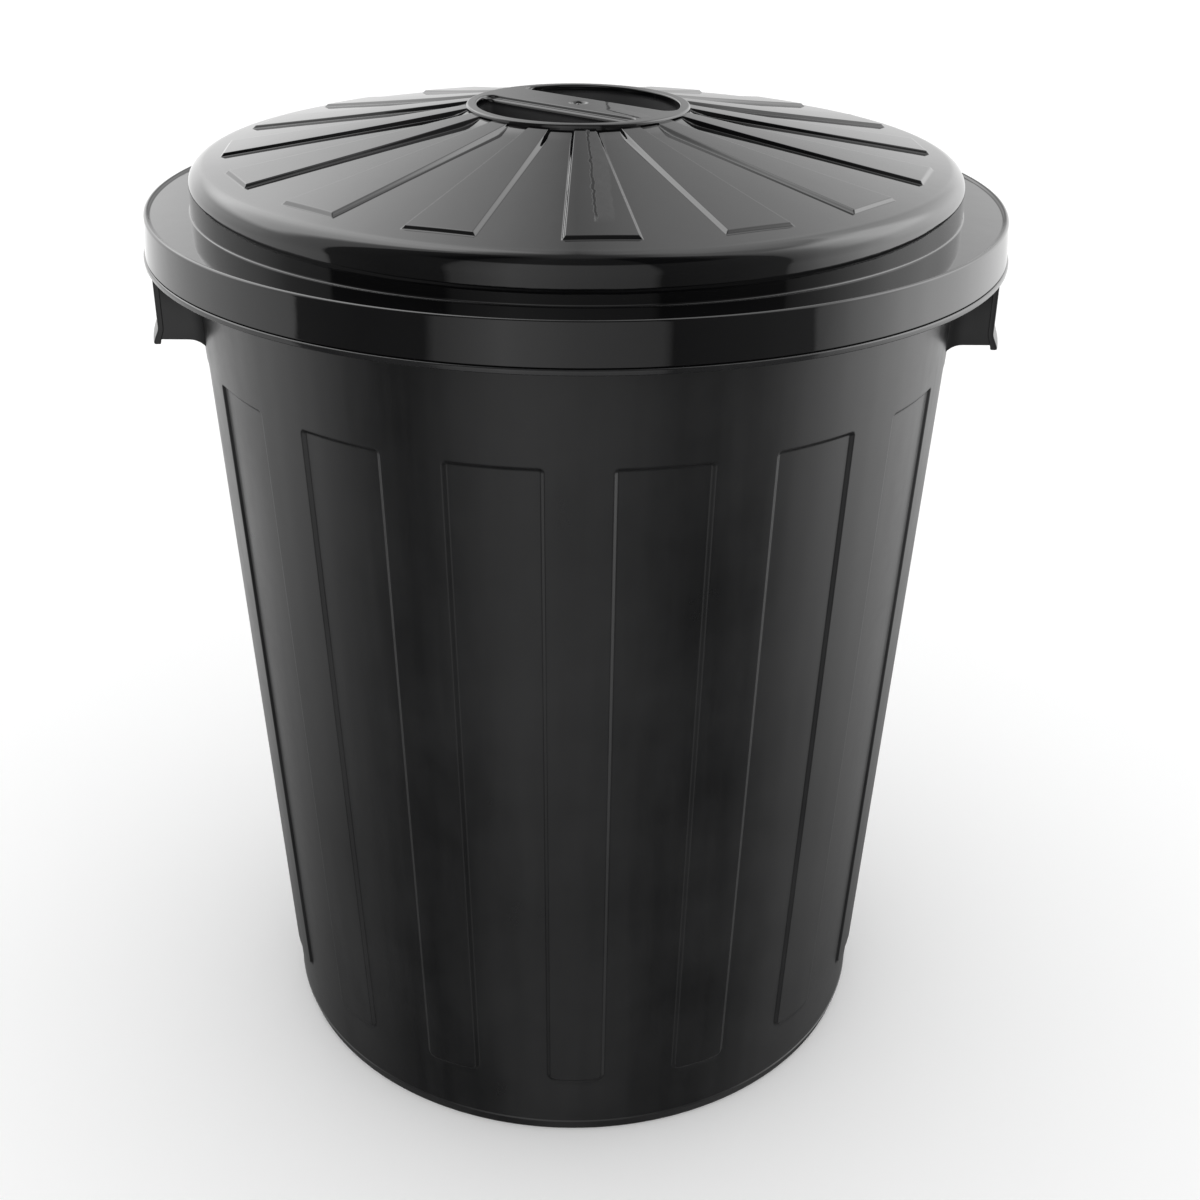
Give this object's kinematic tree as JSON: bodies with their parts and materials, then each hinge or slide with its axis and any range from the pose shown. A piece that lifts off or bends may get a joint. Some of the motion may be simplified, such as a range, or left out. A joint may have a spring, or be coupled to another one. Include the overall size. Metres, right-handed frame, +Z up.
{
  "type": "round plastic bin with lid",
  "caption": "Round tapered black plastic bin with fluted wall, two moulded carrying handles and a domed, ribbed lift-off lid with a recessed grip bar.",
  "frame": {"origin": "centre of the circle that the foot stands on", "axes": "+Z up the bin's axis, front towards -Y, carrying handles along +X and -X"},
  "size_m": [0.4446, 0.4446, 0.5315],
  "materials": {
    "body_plastic": "satin black moulded polypropylene",
    "lid_plastic": "glossy black moulded polypropylene"
  },
  "bodies": {
    "bin": {"tub": "body_plastic", "rim_top": "body_plastic", "rim_wall": "body_plastic", "rim_ledge": "body_plastic", "right_handle": "body_plastic", "left_handle": "body_plastic"},
    "lid": {"lid_skirt": "lid_plastic", "lid_flange": "lid_plastic", "lid_dome": "lid_plastic", "lid_grip": "lid_plastic"}
  },
  "joints": [
    {"name": "lid_lift", "type": "slide", "parent": "bin", "child": "lid", "axis": [0, 0, 1], "range_m": [0, 0.2]}
  ]
}
